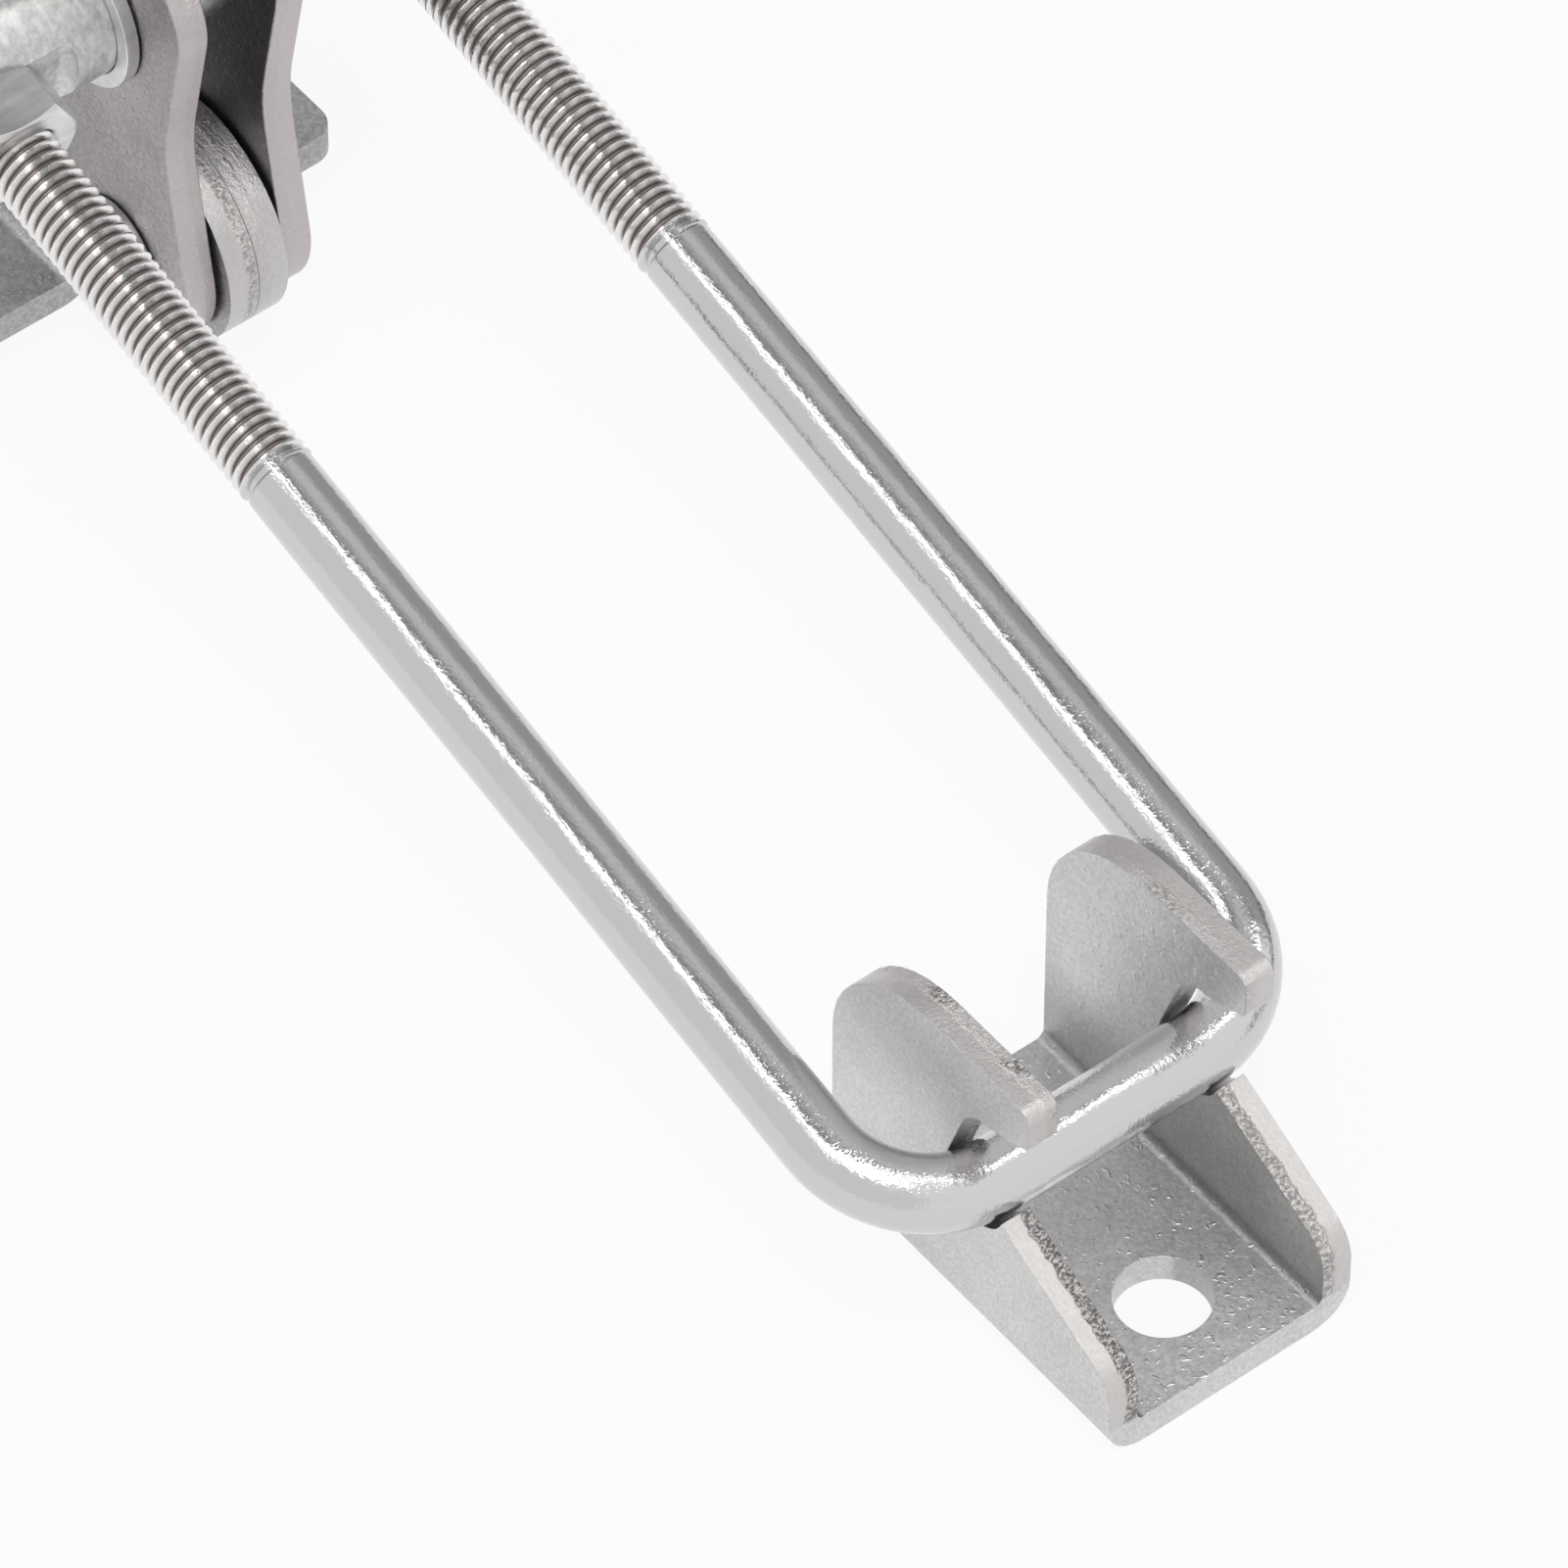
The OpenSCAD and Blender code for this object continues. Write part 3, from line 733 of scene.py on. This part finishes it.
@dataclass
class ThreadedBolt:
    """The U-bolt: a rod bent twice, with a real thread on both legs."""

    drop: float = LEG_DROP
    leg_y: float = LEG_Y
    reach: float = REACH_MM * MM
    corner_r: float = 12.0 * MM
    rod_r: float = 3.85 * MM
    crest_r: float = 4.0 * MM
    root_r: float = 3.3 * MM
    pitch: float = 1.25 * MM
    thread_front: float = 55.1 * MM
    thread_rear: float = 18.0 * MM
    shoulder: float = 0.45 * MM
    chamfer: float = 0.35 * MM
    ridge_sink: float = 0.06 * MM
    foot_share: float = 0.46
    crest_share: float = 0.09
    rise: float = 0.9
    fall: float = 0.4
    run_out: float = 0.5 * MM
    sides: int = 48
    corner_steps: int = 16
    turn_steps: int = 28

    def build(self, shop: Workshop) -> None:
        """Build the rod and both threads as one piece.

        Args:
            shop: Where the piece is installed.
        """
        pivot = Vector(shop.joints["ubolt_swing"]["pos_m"])
        mesh = bmesh.new()
        self._bend_rod(mesh)
        self._cut_core(mesh, -1.0)
        self._cut_core(mesh, 1.0)
        self._roll_threads(mesh)
        bmesh.ops.recalc_face_normals(mesh, faces=mesh.faces)
        place = Matrix.Translation(pivot) @ Matrix.Rotation(self.drop, 4, "Y")
        bmesh.ops.transform(mesh, matrix=place, verts=mesh.verts)
        finish = BrightBolt(
            "bright_bolt", tuple(pivot), self.drop, self.leg_y, self.thread_front, self.reach
        )
        shop.install(mesh, "u_bolt", finish.material())

    def _ring(self, mesh: bmesh.types.BMesh, x: float, y: float, radius: float) -> list:
        """Add a circle round a leg's axis.

        Args:
            mesh: The mesh that it goes into.
            x: Its distance along the leg.
            y: The leg's place across the clamp.
            radius: Its radius.

        Returns:
            Its edges.
        """
        place = Matrix.Translation((x, y, 0.0)) @ Matrix.Rotation(math.pi / 2, 4, "Y")
        circle = bmesh.ops.create_circle(
            mesh, cap_ends=False, segments=self.sides, radius=radius, matrix=place
        )
        return list({edge for vert in circle["verts"] for edge in vert.link_edges})

    @staticmethod
    def _extend(mesh: bmesh.types.BMesh, edges: list, by: Vec) -> list:
        """Extrude a ring of edges.

        Args:
            mesh: The mesh that they are in.
            edges: The ring.
            by: How far it goes.

        Returns:
            The new ring's edges.
        """
        new = bmesh.ops.extrude_edge_only(mesh, edges=edges)["geom"]
        verts = [item for item in new if isinstance(item, bmesh.types.BMVert)]
        bmesh.ops.translate(mesh, verts=verts, vec=by)
        return [item for item in new if isinstance(item, bmesh.types.BMEdge)]

    @staticmethod
    def _grow(mesh: bmesh.types.BMesh, edges: list, axis_y: float, factor: float) -> None:
        """Scale a ring about its leg's axis.

        Args:
            mesh: The mesh that it is in.
            edges: The ring.
            axis_y: The leg's place across the clamp.
            factor: The scale.
        """
        verts = list({vert for edge in edges for vert in edge.verts})
        about = Matrix.Translation((0.0, -axis_y, 0.0))
        bmesh.ops.scale(mesh, vec=(1.0, factor, factor), space=about, verts=verts)

    def _turn(self, mesh: bmesh.types.BMesh, edges: list, centre: Vec) -> list:
        """Sweep a ring round one corner.

        Args:
            mesh: The mesh that it is in.
            edges: The ring.
            centre: The bend's centre.

        Returns:
            The last ring's edges.
        """
        swept = bmesh.ops.spin(
            mesh,
            geom=edges,
            cent=centre,
            axis=(0.0, 0.0, 1.0),
            dvec=(0.0, 0.0, 0.0),
            angle=-math.pi / 2,
            steps=self.corner_steps,
        )
        return [item for item in swept["geom_last"] if isinstance(item, bmesh.types.BMEdge)]

    def _bend_rod(self, mesh: bmesh.types.BMesh) -> None:
        """Add the plain rod, from one thread's end to the other's."""
        half = self.leg_y - self.corner_r
        straight = self.reach - self.corner_r - self.thread_front - self.shoulder
        first = self._ring(mesh, self.thread_front, self.leg_y, self.root_r)
        ring = self._extend(mesh, first, (self.shoulder, 0.0, 0.0))
        self._grow(mesh, ring, self.leg_y, self.rod_r / self.root_r)
        ring = self._extend(mesh, ring, (straight, 0.0, 0.0))
        ring = self._turn(mesh, ring, (self.reach - self.corner_r, half, 0.0))
        ring = self._extend(mesh, ring, (0.0, -2.0 * half, 0.0))
        ring = self._turn(mesh, ring, (self.reach - self.corner_r, -half, 0.0))
        ring = self._extend(mesh, ring, (-straight, 0.0, 0.0))
        last = self._extend(mesh, ring, (-self.shoulder, 0.0, 0.0))
        self._grow(mesh, last, -self.leg_y, self.root_r / self.rod_r)
        bmesh.ops.holes_fill(mesh, edges=first + last, sides=0)

    def _cut_core(self, mesh: bmesh.types.BMesh, side: float) -> None:
        """Add the body of one thread, with its chamfered end.

        Args:
            mesh: The mesh that it goes into.
            side: -1 or 1, for the leg.
        """
        y = side * self.leg_y
        end_r = self.root_r - self.chamfer
        first = self._ring(mesh, -self.thread_rear, y, end_r)
        ring = self._extend(mesh, first, (self.chamfer, 0.0, 0.0))
        self._grow(mesh, ring, y, self.root_r / end_r)
        last = self._extend(mesh, ring, (self.thread_rear + self.thread_front, 0.0, 0.0))
        bmesh.ops.holes_fill(mesh, edges=first + last, sides=0)

    def _roll_threads(self, mesh: bmesh.types.BMesh) -> None:
        """Add the ridge of both threads, faded in at the end and out at the rod.

        Args:
            mesh: The mesh that they go into.
        """
        base_r = self.root_r - self.ridge_sink
        half_base = self.foot_share * self.pitch
        half_crest = self.crest_share * self.pitch
        start = half_base - self.thread_rear
        corners = (
            (start - half_base, base_r),
            (start - half_crest, self.crest_r),
            (start + half_crest, self.crest_r),
            (start + half_base, base_r),
        )
        older = set(mesh.verts)
        verts = [mesh.verts.new((x, self.leg_y, r)) for x, r in corners]
        edges = [mesh.edges.new((verts[i], verts[(i + 1) % 4])) for i in range(4)]
        bmesh.ops.spin(
            mesh,
            geom=verts + edges,
            cent=(0.0, self.leg_y, 0.0),
            axis=(1.0, 0.0, 0.0),
            dvec=(self.pitch / self.turn_steps, 0.0, 0.0),
            angle=math.tau,
            steps=self.turn_steps,
        )
        turns = round((self.thread_rear + self.thread_front) / self.pitch)
        one_turn = self._newer(mesh, older)
        for turn in range(1, turns):
            self._copy(mesh, one_turn, (turn * self.pitch, 0.0, 0.0))
        ridge = [item for item in self._newer(mesh, older) if isinstance(item, bmesh.types.BMVert)]
        bmesh.ops.remove_doubles(mesh, verts=ridge, dist=WELD)
        ridge = [vert for vert in mesh.verts if vert not in older]
        ends = {edge for vert in ridge for edge in vert.link_edges if edge.is_boundary}
        bmesh.ops.holes_fill(mesh, edges=list(ends), sides=0)
        self._fade(ridge, base_r)
        self._copy(mesh, self._newer(mesh, older), (0.0, -2.0 * self.leg_y, 0.0))

    def _fade(self, ridge: list[bmesh.types.BMVert], base_r: float) -> None:
        """Pull a ridge's ends down to the rod.

        Args:
            ridge: The ridge's vertices.
            base_r: The radius of its foot.
        """
        end = self.thread_front + self.run_out
        for vert in ridge:
            arm = Vector((0.0, vert.co.y - self.leg_y, vert.co.z))
            fade_in = self.root_r + self.rise * (vert.co.x + self.thread_rear)
            fade_out = self.rod_r + self.fall * (end - vert.co.x)
            limit = max(base_r, min(fade_in, fade_out))
            if arm.length > limit:
                arm.length = limit
                vert.co.y = self.leg_y + arm.y
                vert.co.z = arm.z

    @staticmethod
    def _newer(mesh: bmesh.types.BMesh, older: set) -> list:
        """Give the parts of a mesh that don't touch its older vertices.

        Args:
            mesh: The mesh.
            older: Its older vertices.

        Returns:
            The newer vertices, edges and faces.
        """
        verts = [vert for vert in mesh.verts if vert not in older]
        edges = [edge for edge in mesh.edges if edge.verts[0] not in older]
        faces = [face for face in mesh.faces if face.verts[0] not in older]
        return verts + edges + faces

    @staticmethod
    def _copy(mesh: bmesh.types.BMesh, geom: list, by: Vec) -> None:
        """Copy part of a mesh.

        Args:
            mesh: The mesh.
            geom: What is copied.
            by: How far the copy is moved.
        """
        copied = bmesh.ops.duplicate(mesh, geom=geom)["geom"]
        verts = [item for item in copied if isinstance(item, bmesh.types.BMVert)]
        bmesh.ops.translate(mesh, verts=verts, vec=by)


@dataclass(frozen=True)
class Lamp:
    """A soft rectangular lamp."""

    name: str
    place: Vec
    target: Vec
    width: float
    height: float
    watts: float
    mirrored: bool = True

    def build(self) -> None:
        """Add the lamp, turned to its target."""
        data = bpy.data.lights.new(self.name, "AREA")
        data.shape = "RECTANGLE"
        data.size = self.width
        data.size_y = self.height
        data.energy = self.watts
        lamp = bpy.data.objects.new(self.name, data)
        bpy.context.scene.collection.objects.link(lamp)
        lamp.location = self.place
        lamp.visible_glossy = self.mirrored
        away = Vector(self.place) - Vector(self.target)
        lamp.rotation_euler = away.to_track_quat("Z", "Y").to_euler()


@dataclass(frozen=True)
class Cove:
    """A curved card over the clamp, along X, that only reflections show.

    Its angles are in degrees, up from the horizon on the +Y side.
    """

    name: str
    x_low: float
    x_high: float
    from_angle: float
    to_angle: float
    level: float
    radius: float = 1.3
    steps: int = 24

    def build(self) -> None:
        """Add the card."""
        mesh = bmesh.new()
        bmesh.ops.create_grid(mesh, x_segments=1, y_segments=self.steps, size=0.5)
        for vert in mesh.verts:
            angle = math.radians(
                self.from_angle + (vert.co.y + 0.5) * (self.to_angle - self.from_angle)
            )
            vert.co = (
                self.x_low + (vert.co.x + 0.5) * (self.x_high - self.x_low),
                self.radius * math.cos(angle),
                self.radius * math.sin(angle),
            )
        data = bpy.data.meshes.new(self.name)
        mesh.to_mesh(data)
        mesh.free()
        shade = Shader(f"{self.name}_glow")
        glow = {"Color": WHITE, "Strength": self.level}
        shade.finish_with(shade.node("ShaderNodeEmission", inputs=glow))
        data.materials.append(shade.material)
        cove = bpy.data.objects.new(self.name, data)
        bpy.context.scene.collection.objects.link(cove)
        cove.visible_camera = False
        cove.visible_diffuse = False
        cove.visible_shadow = False
        cove.visible_transmission = False


@dataclass
class Studio:
    """The white floor, the white surroundings, the lamps and the camera."""

    azimuth: float = math.radians(51.78)
    elevation: float = math.radians(49.56)
    eye: Vec = (0.7729, -0.4926, 0.9592)
    lens: float = 293.2
    floor_half: float = 4.0
    floor_drop: float = 0.05 * MM
    shadow_share: float = 0.10
    ambient: float = 0.55
    middle: Vec = (0.10, 0.0, 0.03)
    cards: tuple[Cove, ...] = (
        Cove("dark_horizon", -2.4, 1.5, -1.5, 8.0, 0.15),
        Cove("low_sky", -2.4, 0.31, 8.0, 42.0, 0.42),
        Cove("high_sky", -2.4, 0.31, 42.0, 52.0, 0.50),
        Cove("pale_sky", -2.4, 0.31, 52.0, 76.0, 0.70),
        Cove("mid_sky", -2.4, 0.31, 76.0, 88.0, 0.52),
        Cove("dark_line", -2.4, 0.31, 88.0, 101.0, 0.30),
        Cove("near_sky", -2.4, 2.4, 117.0, 178.0, 0.86),
        Cove("leg_streak", -1.0, 0.4, 101.0, 115.5, 2.0, radius=1.2),
        Cove("crossbar_shade", 0.17, 0.28, 40.0, 92.0, 0.15, radius=1.2),
        Cove("crossbar_streak", 0.28, 0.40, 40.0, 92.0, 4.5, radius=1.2),
    )

    def build(self) -> None:
        """Set the stage, the lamps and the camera."""
        self._floor()
        self._surroundings()
        Lamp("overhead", (0.45, -0.25, 1.05), self.middle, 0.35, 0.35, 3.0).build()
        Lamp("side_fill", (0.25, -0.95, 0.55), self.middle, 0.7, 0.45, 2.0, mirrored=False).build()
        for card in self.cards:
            card.build()
        self._camera()
        bpy.context.scene.view_settings.view_transform = "Standard"

    @staticmethod
    def _seen_directly(shade: Shader) -> Flow:
        """Give 1 for camera, glossy and transmitted rays, and 0 for the rest."""
        camera = shade.node("ShaderNodeLightPath", output="Is Camera Ray")
        glossy = shade.node("ShaderNodeLightPath", output="Is Glossy Ray")
        through = shade.node("ShaderNodeLightPath", output="Is Transmission Ray")
        return camera.math("MAXIMUM", glossy.math("MAXIMUM", through))

    def _floor(self) -> None:
        """Add the floor, nearly white and with a faint shadow."""
        mesh = bmesh.new()
        bmesh.ops.create_grid(mesh, x_segments=1, y_segments=1, size=self.floor_half)
        bmesh.ops.translate(mesh, verts=mesh.verts, vec=(0.0, 0.0, -self.floor_drop))
        data = bpy.data.meshes.new("floor")
        mesh.to_mesh(data)
        mesh.free()
        shade = Shader("white_floor")
        matte = shade.node("ShaderNodeBsdfDiffuse", inputs={"Color": (0.9, 0.9, 0.9)})
        glow = shade.node("ShaderNodeEmission", inputs={"Color": WHITE, "Strength": 1.0})
        share = self._seen_directly(shade) * (1.0 - self.shadow_share)
        shade.finish_with(shade.node("ShaderNodeMixShader", inputs={0: share, 1: matte, 2: glow}))
        data.materials.append(shade.material)
        floor = bpy.data.objects.new("floor", data)
        bpy.context.scene.collection.objects.link(floor)

    def _surroundings(self) -> None:
        """Make the world white where it is seen and softer where it lights."""
        shade = Shader("studio", world=True)
        bpy.context.scene.world = shade.material
        white = shade.node("ShaderNodeBackground", inputs={"Color": WHITE, "Strength": 1.0})
        soft = shade.node("ShaderNodeBackground", inputs={"Color": WHITE, "Strength": self.ambient})
        share = self._seen_directly(shade)
        shade.finish_with(shade.node("ShaderNodeMixShader", inputs={0: share, 1: soft, 2: white}))

    def _camera(self) -> None:
        """Put the camera where the photograph was taken."""
        right = Vector((math.cos(self.azimuth), math.sin(self.azimuth), 0.0))
        level = math.cos(self.elevation)
        back = Vector((right.y * level, -right.x * level, math.sin(self.elevation)))
        up = back.cross(right)
        turn = Matrix((right, up, back)).transposed().to_4x4()
        data = bpy.data.cameras.new("camera")
        data.sensor_width = 36.0
        data.lens = self.lens
        data.clip_end = 20.0
        camera = bpy.data.objects.new("camera", data)
        bpy.context.scene.collection.objects.link(camera)
        camera.matrix_world = Matrix.Translation(self.eye) @ turn
        bpy.context.scene.camera = camera


def main() -> None:
    """Build the studio and the clamp around the frame."""
    logging.basicConfig(level=logging.INFO, format="%(name)s: %(message)s")
    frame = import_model()
    Studio().build()
    shop = Workshop(frame)
    for assembly in (PressedPlates(), Fasteners(), Sleeve(), ThreadedBolt()):
        assembly.build(shop)
    bpy.context.view_layer.update()


if __name__ == "__main__":
    main()
